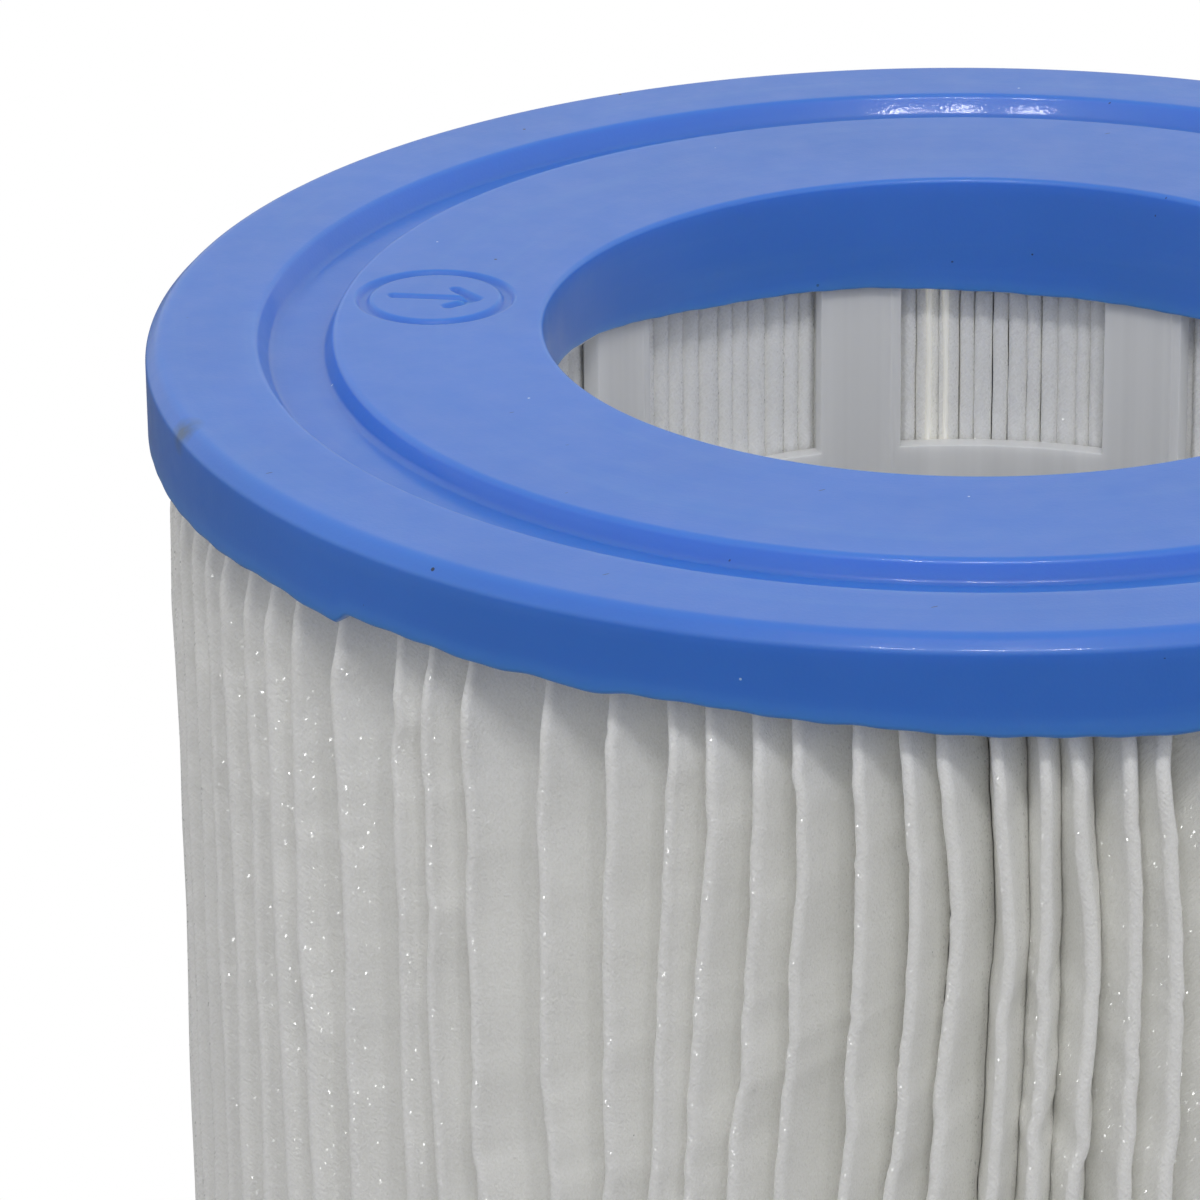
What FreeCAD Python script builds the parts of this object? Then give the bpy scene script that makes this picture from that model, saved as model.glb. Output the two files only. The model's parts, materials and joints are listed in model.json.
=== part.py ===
import FreeCAD, Part
import cmath
import math
import os
import re
import Sketcher

# Pleated filter cartridge for the pump of an above-ground pool.
# Frame: +Z up along the cartridge's axis, origin at the centre of the bottom cap's lower face.
# Two soft caps are cast round the ends of a pleated sheet and of a windowed core tube.

DIMENSIONS = {
    # whole cartridge, mm
    "cartridge_height": 136.0,
    # end caps; depths are counted from a cap's outer face
    "cap_radius": 53.0,
    "cap_skirt": 5.75,
    "cap_lip": 8.7,
    "hole_radius": 27.5,
    "ring_radius": 41.1,
    "groove_radius": 45.7,
    "groove_depth": 1.45,
    "groove_ring_foot": 41.5,
    "groove_rim_foot": 45.05,
    "rim_bevel": 0.9,
    "groove_round": 0.5,
    "hole_round": 0.35,
    "potting_depth": 3.2,
    # arrow in a circle, engraved in the top cap's inner ring
    "mark_distance": 34.9,
    "mark_angle": 175.0,
    "mark_radius": 4.7,
    "mark_line": 0.75,
    "mark_depth": 0.35,
    "arrow_reach": 2.7,
    "arrow_head": 1.6,
    # support core; the window angle is that of one column's middle
    "core_inner_radius": 28.3,
    "core_outer_radius": 29.55,
    "window_width": 14.7,
    "window_height": 13.3,
    "window_spacing": 18.3,
    "window_rows": 7,
    "window_columns": 9,
    "window_angle": 85.5,
    # pleated sheet; the radii reach the outside of its folds
    "pleat_count": 118,
    "pleat_inner_radius": 29.75,
    "pleat_outer_radius": 52.0,
    "sheet_thickness": 0.42,
    "fold_width": 0.62,
    "seam_angle": 94.8,
    # adhesive in the gap on each side of the fold at the seam
    "bead_depth": 2.4,
}
ALIASES = re.compile(r"\b(" + "|".join(DIMENSIONS) + r")\b")
FULL_TURN = 360
HALF_TURN = 180
POSITION_TOLERANCE = 1e-6


def make_dimensions(doc):
    """Spreadsheet of the driving dimensions, one aliased cell each."""
    sheet = doc.addObject("Spreadsheet::Sheet", "dimensions")
    for row, (name, number) in enumerate(DIMENSIONS.items(), start=1):
        sheet.set(f"A{row}", name)
        sheet.set(f"B{row}", str(number))
        sheet.setAlias(f"B{row}", name)
    doc.recompute()
    return sheet


def value(feature, formula):
    """Present value of a formula over the sheet's aliases."""
    return float(feature.Document.getObject("dimensions").evalExpression(formula))


def bind(feature, path, formula):
    """Drive a property by a formula over the sheet's aliases."""
    feature.setExpression(path, ALIASES.sub(r"dimensions.\g<0>", formula))


def origin_feature(body, role):
    """Plane or axis of a body's own origin, such as XZ_Plane or Z_Axis."""
    return next(feature for feature in body.Origin.OriginFeatures if feature.Role == role)


def new_sketch(body, name, plane):
    sketch = body.newObject("Sketcher::SketchObject", name)
    sketch.AttachmentSupport = [(origin_feature(body, plane), "")]
    sketch.MapMode = "FlatFace"
    return sketch


def constrain(sketch, kind, places, formula):
    """Named dimension of a sketch, driven by a formula."""
    name = f"{kind}{sketch.ConstraintCount}"
    number = sketch.addConstraint(Sketcher.Constraint(kind, *places, value(sketch, formula)))
    sketch.renameConstraint(number, name)
    bind(sketch, f"Constraints.{name}", formula)


def add_circle(sketch, radius):
    """Circle round the sketch's origin."""
    outline = Part.Circle(FreeCAD.Vector(), FreeCAD.Vector(0, 0, 1), value(sketch, radius))
    circle = sketch.addGeometry(outline, False)
    sketch.addConstraint(Sketcher.Constraint("Coincident", circle, 3, -1, 1))
    constrain(sketch, "Radius", [circle], radius)


def add_outline(sketch, corners):
    """Closed chain of lines through corners given as (x, y) formulas."""
    places = [FreeCAD.Vector(value(sketch, x), value(sketch, y)) for x, y in corners]
    lines = [
        sketch.addGeometry(Part.LineSegment(start, end), False)
        for start, end in zip(places, places[1:] + places[:1])
    ]
    for line, following in zip(lines, lines[1:] + lines[:1]):
        sketch.addConstraint(Sketcher.Constraint("Coincident", line, 2, following, 1))
    for line, (x, y) in zip(lines, corners):
        constrain(sketch, "DistanceX", [line, 1], x)
        constrain(sketch, "DistanceY", [line, 1], y)


def circle_names(feature, places):
    """Names of a feature's circular edges at the given (radius, height) formulas."""
    wanted = [(value(feature, radius), value(feature, height)) for radius, height in places]
    names = []
    for number, edge in enumerate(feature.Shape.Edges, start=1):
        if not isinstance(edge.Curve, Part.Circle):
            continue
        for radius, height in wanted:
            same_radius = abs(edge.Curve.Radius - radius) < POSITION_TOLERANCE
            if same_radius and abs(edge.Curve.Center.z - height) < POSITION_TOLERANCE:
                names.append(f"Edge{number}")
    return names


def dress(body, kind, name, base, places, size, formula):
    """Fillet or chamfer on a feature's circular edges."""
    feature = body.newObject(f"PartDesign::{kind}", name)
    feature.Base = (base, circle_names(base, places))
    bind(feature, size, formula)
    body.Document.recompute()
    return feature


def make_cap_body(doc, name):
    """One cap with its outer face on z = 0 and its lip upwards, before the potted ends are cut out."""
    body = doc.addObject("PartDesign::Body", name)
    profile = new_sketch(body, f"{name}_profile", "XZ_Plane")
    add_outline(
        profile,
        [
            ("hole_radius", "0"),
            ("ring_radius", "0"),
            ("groove_ring_foot", "groove_depth"),
            ("groove_rim_foot", "groove_depth"),
            ("groove_radius", "0"),
            ("cap_radius", "0"),
            ("cap_radius", "cap_skirt"),
            ("core_inner_radius", "cap_skirt"),
            ("core_inner_radius", "cap_lip"),
            ("hole_radius", "cap_lip"),
        ],
    )
    turned = body.newObject("PartDesign::Revolution", f"{name}_turned")
    turned.Profile = profile
    turned.ReferenceAxis = (origin_feature(body, "Z_Axis"), [""])
    turned.Angle = FULL_TURN
    doc.recompute()
    rim = [("cap_radius", "0")]
    bevelled = dress(body, "Chamfer", f"{name}_bevel", turned, rim, "Size", "rim_bevel")
    groove = [("ring_radius", "0"), ("groove_radius", "0")]
    grooved = dress(body, "Fillet", f"{name}_groove", bevelled, groove, "Radius", "groove_round")
    hole = [("hole_radius", "0"), ("hole_radius", "cap_lip")]
    dress(body, "Fillet", f"{name}_hole", grooved, hole, "Radius", "hole_round")
    return body


def make_mark(doc):
    """Cutter for the engraved circle and arrow, lying across the top cap's outer face."""
    body = doc.addObject("PartDesign::Body", "mark_cutter")
    outline = new_sketch(body, "mark_outline", "XY_Plane")
    add_circle(outline, "mark_radius + mark_line / 2")
    add_circle(outline, "mark_radius - mark_line / 2")
    add_outline(
        outline,
        [
            ("-arrow_reach", "0"),
            ("arrow_head - arrow_reach", "-arrow_head"),
            ("arrow_head - arrow_reach", "-mark_line / 2"),
            ("arrow_reach", "-mark_line / 2"),
            ("arrow_reach", "mark_line / 2"),
            ("arrow_head - arrow_reach", "mark_line / 2"),
            ("arrow_head - arrow_reach", "arrow_head"),
        ],
    )
    cutter = body.newObject("PartDesign::Pad", "mark_pad")
    cutter.Profile = outline
    cutter.Midplane = True
    bind(cutter, "Length", "2 * mark_depth")
    angle = value(body, "mark_angle")
    turn = FreeCAD.Rotation(FreeCAD.Vector(0, 0, 1), angle)
    offset = FreeCAD.Vector(value(body, "mark_distance"), 0, value(body, "cartridge_height"))
    body.Placement = FreeCAD.Placement(turn.multVec(offset), turn)
    doc.recompute()
    return body


def make_core(doc):
    """Core tube with rows and columns of windows, centred on its body's origin."""
    body = doc.addObject("PartDesign::Body", "support_core")
    section = new_sketch(body, "core_section", "XY_Plane")
    add_circle(section, "core_outer_radius")
    add_circle(section, "core_inner_radius")
    tube = body.newObject("PartDesign::Pad", "core_tube")
    tube.Profile = section
    tube.Midplane = True
    bind(tube, "Length", "cartridge_height - 2 * potting_depth")
    doc.recompute()
    whole = body.Shape.Volume

    opening = new_sketch(body, "window_outline", "XZ_Plane")
    lowest = "-(window_rows - 1) / 2 * window_spacing"
    sill = f"{lowest} - window_height / 2"
    head = f"{lowest} + window_height / 2"
    half = "window_width / 2"
    add_outline(opening, [(f"-{half}", sill), (half, sill), (half, head), (f"-{half}", head)])
    window = body.newObject("PartDesign::Pocket", "window")
    window.Profile = opening
    window.Type = "ThroughAll"
    doc.recompute()
    if body.Shape.Volume >= whole:
        raise RuntimeError("the window pocket cuts nothing")

    windows = body.newObject("PartDesign::MultiTransform", "windows")
    windows.Originals = [window]
    rows = body.newObject("PartDesign::LinearPattern", "window_rows_pattern")
    rows.Direction = (origin_feature(body, "Z_Axis"), [""])
    rows.Mode = "Spacing"
    bind(rows, "Offset", "window_spacing")
    bind(rows, "Occurrences", "window_rows")
    columns = body.newObject("PartDesign::PolarPattern", "window_columns_pattern")
    columns.Axis = (origin_feature(body, "Z_Axis"), [""])
    columns.Angle = FULL_TURN
    bind(columns, "Occurrences", "window_columns")
    windows.Transformations = [rows, columns]
    body.Tip = windows

    # the first column is cut on the +Y side, a quarter turn from +X
    turn = value(body, "window_angle") - FULL_TURN / 4
    middle = FreeCAD.Vector(0, 0, value(body, "cartridge_height") / 2)
    body.Placement = FreeCAD.Placement(middle, FreeCAD.Rotation(FreeCAD.Vector(0, 0, 1), turn))
    doc.recompute()
    return body


def fold_corners(sheet):
    """Corners of the sheet's middle surface, as complex numbers: two at each inner and outer fold."""
    count = int(value(sheet, "pleat_count"))
    half_flat = value(sheet, "fold_width / 2")
    inner = value(sheet, "pleat_inner_radius + sheet_thickness / 2")
    outer = value(sheet, "pleat_outer_radius - sheet_thickness / 2")
    start = math.radians(value(sheet, "seam_angle"))
    corners = []
    for fold in range(2 * count):
        radius = inner if fold % 2 == 0 else outer
        direction = cmath.rect(1, start + math.pi * fold / count)
        corners.append(direction * complex(radius, -half_flat))
        corners.append(direction * complex(radius, half_flat))
    return corners


def mitred(corners, distance):
    """A closed outline moved sideways, towards its left where distance is positive."""
    moved = []
    for before, corner, after in zip(corners[-1:] + corners[:-1], corners, corners[1:] + corners[:1]):
        arriving = (corner - before) / abs(corner - before)
        leaving = (after - corner) / abs(after - corner)
        bisector = arriving + leaving
        moved.append(corner + 2j * distance * bisector / abs(bisector) ** 2)
    return moved


def polygon(corners):
    points = [FreeCAD.Vector(corner.real, corner.imag) for corner in corners]
    return Part.makePolygon(points + points[:1])


def extrude_potted(doc, name, shape):
    """Upright solid on a flat outline, from inside the bottom cap to inside the top cap."""
    outline = doc.addObject("Part::Feature", f"{name}_outline")
    outline.Shape = shape
    solid = doc.addObject("Part::Extrusion", name)
    solid.Base = outline
    solid.DirMode = "Custom"
    solid.Dir = FreeCAD.Vector(0, 0, 1)
    solid.Solid = True
    bind(solid, "LengthFwd", "cartridge_height - 2 * potting_depth")
    bind(solid, "Placement.Base.z", "potting_depth")
    doc.recompute()
    return solid


def make_media(doc, sheet):
    """The pleated sheet: one closed ring of folds, as thick as the sheet everywhere."""
    corners = fold_corners(sheet)
    half_sheet = value(sheet, "sheet_thickness / 2")
    outside = polygon(mitred(corners, -half_sheet))
    inside = polygon(mitred(corners, half_sheet))
    section = Part.makeFace([outside, inside], "Part::FaceMakerBullseye")
    return extrude_potted(doc, "pleated_media", section)


def make_beads(doc, sheet):
    """Adhesive between the seam's inner fold and the fold on each side of it."""
    inside = mitred(fold_corners(sheet), value(sheet, "sheet_thickness / 2"))
    depth = value(sheet, "bead_depth")
    faces = []
    # an inner fold's two corners are followed by an outer fold's two and the next inner fold's
    for first in (1, -3):
        near, near_top, far_top, far = (inside[first + step] for step in range(4))
        near_end = near + depth * (near_top - near) / abs(near_top - near)
        far_end = far + depth * (far_top - far) / abs(far_top - far)
        faces.append(Part.Face(polygon([near, near_end, far_end, far])))
    return extrude_potted(doc, "seam_beads", Part.makeCompound(faces))


def make_end_cap(doc, name, body, cutters):
    """A cap body less the ends that it is cast round."""
    cutter = doc.addObject("Part::Compound", f"{name}_cutters")
    cutter.Links = cutters
    cap = doc.addObject("Part::Cut", name)
    cap.Base = body
    cap.Tool = cutter
    doc.recompute()
    return cap


def check(doc, parts):
    """Stop on a feature that failed or on a part that is no valid solid."""
    failed = [item.Name for item in doc.Objects if {"Invalid", "Error"} & set(item.State)]
    if failed:
        raise RuntimeError(f"features failed: {failed}")
    for part in parts:
        if part.Shape.isNull() or not part.Shape.isValid() or not part.Shape.Solids:
            raise RuntimeError(f"{part.Label} is not a valid solid")
        print(part.Label, "solids", len(part.Shape.Solids), "volume", round(part.Shape.Volume))


doc = FreeCAD.newDocument("filter_cartridge")
dimensions = make_dimensions(doc)

core = make_core(doc)
media = make_media(doc, dimensions)
beads = make_beads(doc, dimensions)
potted = [core, media, beads]

bottom_body = make_cap_body(doc, "bottom_cap_body")
bottom_cap = make_end_cap(doc, "bottom_end_cap", bottom_body, potted)

top_body = make_cap_body(doc, "top_cap_body")
upside_down = FreeCAD.Rotation(FreeCAD.Vector(1, 0, 0), HALF_TURN)
top_height = value(dimensions, "cartridge_height")
top_body.Placement = FreeCAD.Placement(FreeCAD.Vector(0, 0, top_height), upside_down)
top_cap = make_end_cap(doc, "top_end_cap", top_body, potted + [make_mark(doc)])

parts = [top_cap, bottom_cap, core, media, beads]
doc.recompute()
check(doc, parts)
os.makedirs("parts", exist_ok=True)
for part in parts:
    part.Shape.exportStep(f"parts/{part.Label}.step")
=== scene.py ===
import json
import math

import bpy
import numpy as np
from mathutils import Matrix, Vector


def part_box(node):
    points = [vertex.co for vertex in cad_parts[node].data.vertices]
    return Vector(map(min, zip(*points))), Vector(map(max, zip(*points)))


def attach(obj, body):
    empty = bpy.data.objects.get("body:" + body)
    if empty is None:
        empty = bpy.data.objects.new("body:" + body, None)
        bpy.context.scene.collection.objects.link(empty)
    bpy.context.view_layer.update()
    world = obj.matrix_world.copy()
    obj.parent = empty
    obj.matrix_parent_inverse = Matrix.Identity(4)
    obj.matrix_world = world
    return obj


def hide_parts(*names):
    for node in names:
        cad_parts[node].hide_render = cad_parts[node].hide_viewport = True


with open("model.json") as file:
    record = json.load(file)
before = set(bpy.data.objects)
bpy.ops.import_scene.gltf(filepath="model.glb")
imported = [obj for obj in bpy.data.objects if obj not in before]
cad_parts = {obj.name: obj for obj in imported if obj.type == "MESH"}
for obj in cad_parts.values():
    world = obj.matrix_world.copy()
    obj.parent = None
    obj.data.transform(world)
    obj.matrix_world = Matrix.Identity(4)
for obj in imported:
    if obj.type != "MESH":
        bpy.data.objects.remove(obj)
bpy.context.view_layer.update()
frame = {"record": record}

# Lengths are in millimetres up to the moment a mesh is made, which is in metres like the frame.
MM = 0.001


# ---------------------------------------------------------------- sizes taken from the frame

def node_box(node):
    """Lowest and highest corner of a CAD node, in millimetres."""
    low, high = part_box(node)
    return np.array(low) / MM, np.array(high) / MM


TOP_LOW, TOP_HIGH = node_box("top_end_cap")
MEDIA_LOW, MEDIA_HIGH = node_box("pleated_media")
CORE_LOW, CORE_HIGH = node_box("support_core")
mounts = {mount["name"]: mount for mount in frame["record"]["mounts"]}

HEIGHT = TOP_HIGH[2]
CAP_RADIUS = TOP_HIGH[0]
HOLE_RADIUS = mounts["top_bore"]["dims"]["r_mm"]
CORE_OUTER = CORE_HIGH[0]
POTTED = MEDIA_LOW[2]

# end cap, depths counted from its outer face; the hole's two edges are rounded alike
HOLE_ROUND = 0.35
LIP_DEPTH = mounts["top_bore"]["dims"]["length_mm"] + 2 * HOLE_ROUND
SKIRT = 5.75
RING_EDGE = 40.6
GROOVE_EDGE = 46.2
GROOVE_DEPTH = 1.45
GROOVE_ROUND = 0.5
GROOVE_FOOT = 0.35
RING_SLOPE = 0.40
RIM_SLOPE = 0.65
BEVEL_RADIAL = 0.82
BEVEL_DEEP = 0.87
CORNER_ROUND = 0.22
SHOULDER_ROUND = 0.42

# support core; the window angle is that of one column's middle
CORE_INNER = 28.3
WINDOW_WIDTH = 14.7
WINDOW_HEIGHT = 13.3
WINDOW_SPACING = 18.3
WINDOW_ROWS = 7
WINDOW_COLUMNS = 9
WINDOW_ANGLE = 85.5

# pleated sheet
PLEATS = 118
SHEET = 0.42
PLEAT_OUTER = MEDIA_HIGH[0]
PLEAT_INNER = 29.75


# ---------------------------------------------------------------- small tools

def smoothstep(low, high, x):
    t = np.clip((x - low) / (high - low), 0.0, 1.0)
    return t * t * (3.0 - 2.0 * t)


def bump_at(x, centre, width):
    """Bell of height one, with x and centre in degrees round a circle."""
    away = (x - centre + 180.0) % 360.0 - 180.0
    return np.exp(-0.5 * (away / width) ** 2)


def ripple(angle, rng, waves, amplitude):
    """Random periodic wave round a circle; angle is in radians."""
    total = np.zeros_like(angle)
    for wave in waves:
        total += rng.normal() * np.sin(wave * angle + rng.uniform(0, 2 * math.pi))
    return amplitude * total / math.sqrt(len(waves))


def arc(centre_r, centre_d, radius, start, end, count):
    """Points (r, depth) on an arc; the angle turns from +r towards +depth."""
    turn = np.radians(np.linspace(start, end, count))
    return [(centre_r + radius * math.cos(a), centre_d + radius * math.sin(a)) for a in turn]


def line(start, end, count):
    """Points between two profile points, both ends left out."""
    share = np.linspace(0, 1, count + 2)[1:-1]
    return [(start[0] + s * (end[0] - start[0]), start[1] + s * (end[1] - start[1])) for s in share]


def make_piece(name, points, faces, material, smooth=True):
    """Mesh object from points in millimetres, riding on the one body."""
    mesh = bpy.data.meshes.new(name)
    mesh.from_pydata((np.asarray(points) * MM).tolist(), [], faces)
    mesh.validate()
    mesh.polygons.foreach_set("use_smooth", [smooth] * len(mesh.polygons))
    mesh.materials.append(material)
    piece = bpy.data.objects.new(name, mesh)
    bpy.context.scene.collection.objects.link(piece)
    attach(piece, "root")
    return piece


def grid_faces(rows, columns, wrap_rows, wrap_columns):
    """Quads of a grid of rows by columns of points, numbered row after row."""
    row_count = rows if wrap_rows else rows - 1
    column_count = columns if wrap_columns else columns - 1
    i, j = np.meshgrid(np.arange(row_count), np.arange(column_count), indexing="ij")
    below, after = (i + 1) % rows, (j + 1) % columns
    quads = np.stack([i * columns + j, i * columns + after, below * columns + after, below * columns + j], -1)
    return quads.reshape(-1, 4).tolist()


# ---------------------------------------------------------------- node materials

# bright flecks of the sheet: the middle of the random colours, the radius in metres inside which the flecks
# face the axis, and how strongly they are turned from it
FACET_CENTRE = (0.5, 0.5, -0.30)
FACET_TURNS = 0.037
FACET_PUSH = 1350.0

class Nodes:
    """Builds a material's node tree a line at a time."""

    def __init__(self, name):
        self.material = bpy.data.materials.new(name)
        self.material.use_nodes = True
        self.tree = self.material.node_tree
        self.shader = self.tree.nodes["Principled BSDF"]
        self.output = self.tree.nodes["Material Output"]
        self.where = self.add("ShaderNodeTexCoord").outputs["Object"]

    def add(self, kind, settings=None, **inputs):
        node = self.tree.nodes.new(kind)
        for key, setting in (settings or {}).items():
            setattr(node, key, setting)
        for key, source in inputs.items():
            self.feed(node.inputs[key.replace("_", " ")], source)
        return node

    def feed(self, socket, source):
        if isinstance(source, bpy.types.NodeSocket):
            self.tree.links.new(source, socket)
        else:
            socket.default_value = source

    def set(self, **inputs):
        for key, source in inputs.items():
            self.feed(self.shader.inputs[key.replace("_", " ")], source)

    def stretch(self, scale, turn=(0, 0, 0)):
        """Object coordinates turned and then scaled per axis, so that a pattern is drawn out aslant."""
        node = self.add("ShaderNodeMapping", {"vector_type": "TEXTURE"}, Vector=self.where)
        node.inputs["Scale"].default_value = [1 / axis for axis in scale]
        node.inputs["Rotation"].default_value = turn
        return node.outputs["Vector"]

    def noise(self, scale, detail=4.0, roughness=0.5, vector=None):
        node = self.add("ShaderNodeTexNoise", Vector=vector or self.where)
        node.inputs["Scale"].default_value = scale
        node.inputs["Detail"].default_value = detail
        node.inputs["Roughness"].default_value = roughness
        return node.outputs["Fac"]

    def ramp(self, source, *stops):
        """Colour ramp; each stop is (position, grey or colour)."""
        node = self.add("ShaderNodeValToRGB", Fac=source)
        ramp = node.color_ramp
        while len(ramp.elements) < len(stops):
            ramp.elements.new(0.5)
        for element, (position, colour) in zip(ramp.elements, stops):
            element.position = position
            shade = (colour,) * 3 if isinstance(colour, (int, float)) else colour
            element.color = (*shade, 1.0)
        return node.outputs["Color"]

    def math(self, operation, first, second=0.0, third=0.0):
        node = self.add("ShaderNodeMath", {"operation": operation})
        for socket, source in zip(node.inputs, (first, second, third)):
            self.feed(socket, source)
        return node.outputs["Value"]

    def mix(self, share, first, second, blend="MIX"):
        node = self.add("ShaderNodeMix", {"data_type": "RGBA", "blend_type": blend})
        self.feed(node.inputs[0], share)
        for socket, source in ((node.inputs[6], first), (node.inputs[7], second)):
            if not isinstance(source, bpy.types.NodeSocket) and len(source) == 3:
                source = (*source, 1.0)
            self.feed(socket, source)
        return node.outputs[2]

    def bump(self, height, strength, distance, normal=None):
        node = self.add("ShaderNodeBump", Height=height)
        node.inputs["Strength"].default_value = strength
        node.inputs["Distance"].default_value = distance
        if normal is not None:
            self.feed(node.inputs["Normal"], normal)
        return node.outputs["Normal"]

    def constant(self, socket, setting):
        """A value that is the same all over the surface, set on the shader itself."""
        self.shader.inputs[socket].default_value = setting

    def polar(self, squeeze):
        """Coordinates that stretch a pattern round the cartridge: radius, squeezed turn and height."""
        return self.polar_scaled(1.0, squeeze * MM * CORE_OUTER, 1.0)

    def polar_scaled(self, radial, around, upright):
        """Radius in metres, turn in radians and height in metres, each times its own scale."""
        parts = self.add("ShaderNodeSeparateXYZ", Vector=self.where).outputs
        across = self.math("SQRT", self.math("ADD", self.math("POWER", parts["X"], 2.0),
                                             self.math("POWER", parts["Y"], 2.0)))
        turn = self.math("ARCTAN2", parts["Y"], parts["X"])
        joined = self.add("ShaderNodeCombineXYZ")
        self.feed(joined.inputs["X"], self.math("MULTIPLY", across, radial))
        self.feed(joined.inputs["Y"], self.math("MULTIPLY", turn, around))
        self.feed(joined.inputs["Z"], self.math("MULTIPLY", parts["Z"], upright))
        return joined.outputs["Vector"]

    def spots(self, scale, radius, rarity, offset=(0, 0, 0), vector=None):
        """One where a small random spot lies and zero elsewhere; rarity is the share of spots left out."""
        moved = self.add("ShaderNodeMapping", Vector=vector or self.where)
        moved.inputs["Location"].default_value = offset
        cells = self.add("ShaderNodeTexVoronoi", Vector=moved.outputs["Vector"])
        cells.inputs["Scale"].default_value = scale
        near = self.math("LESS_THAN", cells.outputs["Distance"], radius)
        lot = self.add("ShaderNodeSeparateColor", Color=cells.outputs["Color"]).outputs["Red"]
        return self.math("MULTIPLY", near, self.math("GREATER_THAN", lot, rarity))

    def vector_math(self, operation, first, second=None, scale=None):
        """A vector node's output socket; operation LENGTH gives a number, every other one a vector."""
        node = self.add("ShaderNodeVectorMath", {"operation": operation})
        self.feed(node.inputs[0], first)
        if second is not None:
            self.feed(node.inputs[1], second)
        if scale is not None:
            self.feed(node.inputs["Scale"], scale)
        return node.outputs["Value" if operation == "LENGTH" else "Vector"]

    def facets(self, vector, away, rarity):
        """Normals thrown off at random from cell to cell, upwards and away from the folds' mid-depth,
        and which of the cells shine."""
        cells = self.add("ShaderNodeTexVoronoi", Vector=vector)
        cells.inputs["Scale"].default_value = 1.0
        centred = self.vector_math("SUBTRACT", cells.outputs["Color"], FACET_CENTRE)
        flat = self.vector_math("MULTIPLY", self.where, (1.0, 1.0, 0.0))
        depth = self.math("SUBTRACT", self.vector_math("LENGTH", flat), FACET_TURNS)
        outwards = self.vector_math("SCALE", flat, scale=self.math("MULTIPLY", depth, FACET_PUSH))
        own = self.vector_math("ADD", outwards, self.add("ShaderNodeNewGeometry").outputs["Normal"])
        thrown = self.vector_math("ADD", self.vector_math("SCALE", centred, scale=away), own)
        lot = self.add("ShaderNodeSeparateColor", Color=cells.outputs["Color"]).outputs["Red"]
        return self.vector_math("NORMALIZE", thrown), self.math("GREATER_THAN", lot, rarity)

    def ball(self, centre, reach):
        """One at the centre, falling to zero at reach."""
        away = self.add("ShaderNodeVectorMath", {"operation": "DISTANCE"})
        self.feed(away.inputs[0], self.where)
        away.inputs[1].default_value = centre
        return self.ramp(self.math("DIVIDE", away.outputs["Value"], reach), (0.2, 1.0), (1.0, 0.0))


# painted glow: name of the attribute that lightens the blue along the skirt's and the lip's free edges,
# standing in for light coming through the thin vinyl
EDGE_GLOW_ATTRIBUTE = "free_edge"


def cap_material():
    """Soft moulded vinyl: saturated blue, satin, with faint flow lines, specks, nicks, one scuff and a
    painted glow along the free edges.
    """
    m = Nodes("blue_vinyl")
    cloud = m.noise(45.0, 3.0, 0.55)
    base = m.ramp(cloud, (0.3, (0.040, 0.182, 0.655)), (0.7, (0.046, 0.198, 0.710)))
    flow = m.noise(420.0, 3.0, 0.6, m.polar(0.08))
    base = m.mix(m.ramp(flow, (0.52, 0.0), (0.80, 0.22)), base, (0.11, 0.30, 0.70))
    base = m.mix(m.spots(480.0, 0.060, 0.945), base, (0.012, 0.035, 0.10))
    base = m.mix(m.spots(620.0, 0.060, 0.965, (3.1, 0.4, 1.7)), base, (0.45, 0.60, 0.85))
    nicks = m.spots(1.0, 0.07, 0.975, (0.7, 5.1, 2.9), m.stretch((230.0, 1500.0, 900.0), (0.3, 0.2, 0.6)))
    base = m.mix(nicks, base, (0.018, 0.060, 0.22))
    # painted glow: lighter, more saturated blue along the free edges, for light coming through the thin vinyl
    edge = m.add("ShaderNodeAttribute", {"attribute_name": EDGE_GLOW_ATTRIBUTE}).outputs["Fac"]
    base = m.mix(m.math("MULTIPLY", edge, 0.55), base, (0.085, 0.300, 0.800))
    worn = m.ramp(m.noise(700.0), (0.35, 0.3), (0.6, 0.9))
    scuffed = m.math("MULTIPLY", m.ball(SCUFF_PLACE, SCUFF_REACH), worn)
    base = m.mix(scuffed, base, (0.075, 0.135, 0.23))
    m.set(Base_Color=base, Subsurface_Weight=0.6)
    m.set(Roughness=m.ramp(m.noise(300.0, 3.0, 0.6), (0.3, 0.36), (0.7, 0.46)))
    m.constant("Subsurface Radius", (0.2, 0.8, 1.0))
    m.constant("Subsurface Scale", 0.0022)
    m.constant("IOR", 1.5)
    m.constant("Coat Weight", 0.35)
    m.constant("Coat Roughness", 0.08)
    grain = m.bump(m.noise(4200.0, 2.0), 0.22, 0.00004)
    m.set(Coat_Normal=grain)
    waves = m.bump(m.noise(150.0, 2.0), 0.25, 0.0003, grain)
    m.set(Normal=m.bump(flow, 0.10, 0.0002, waves))
    return m.material


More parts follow.
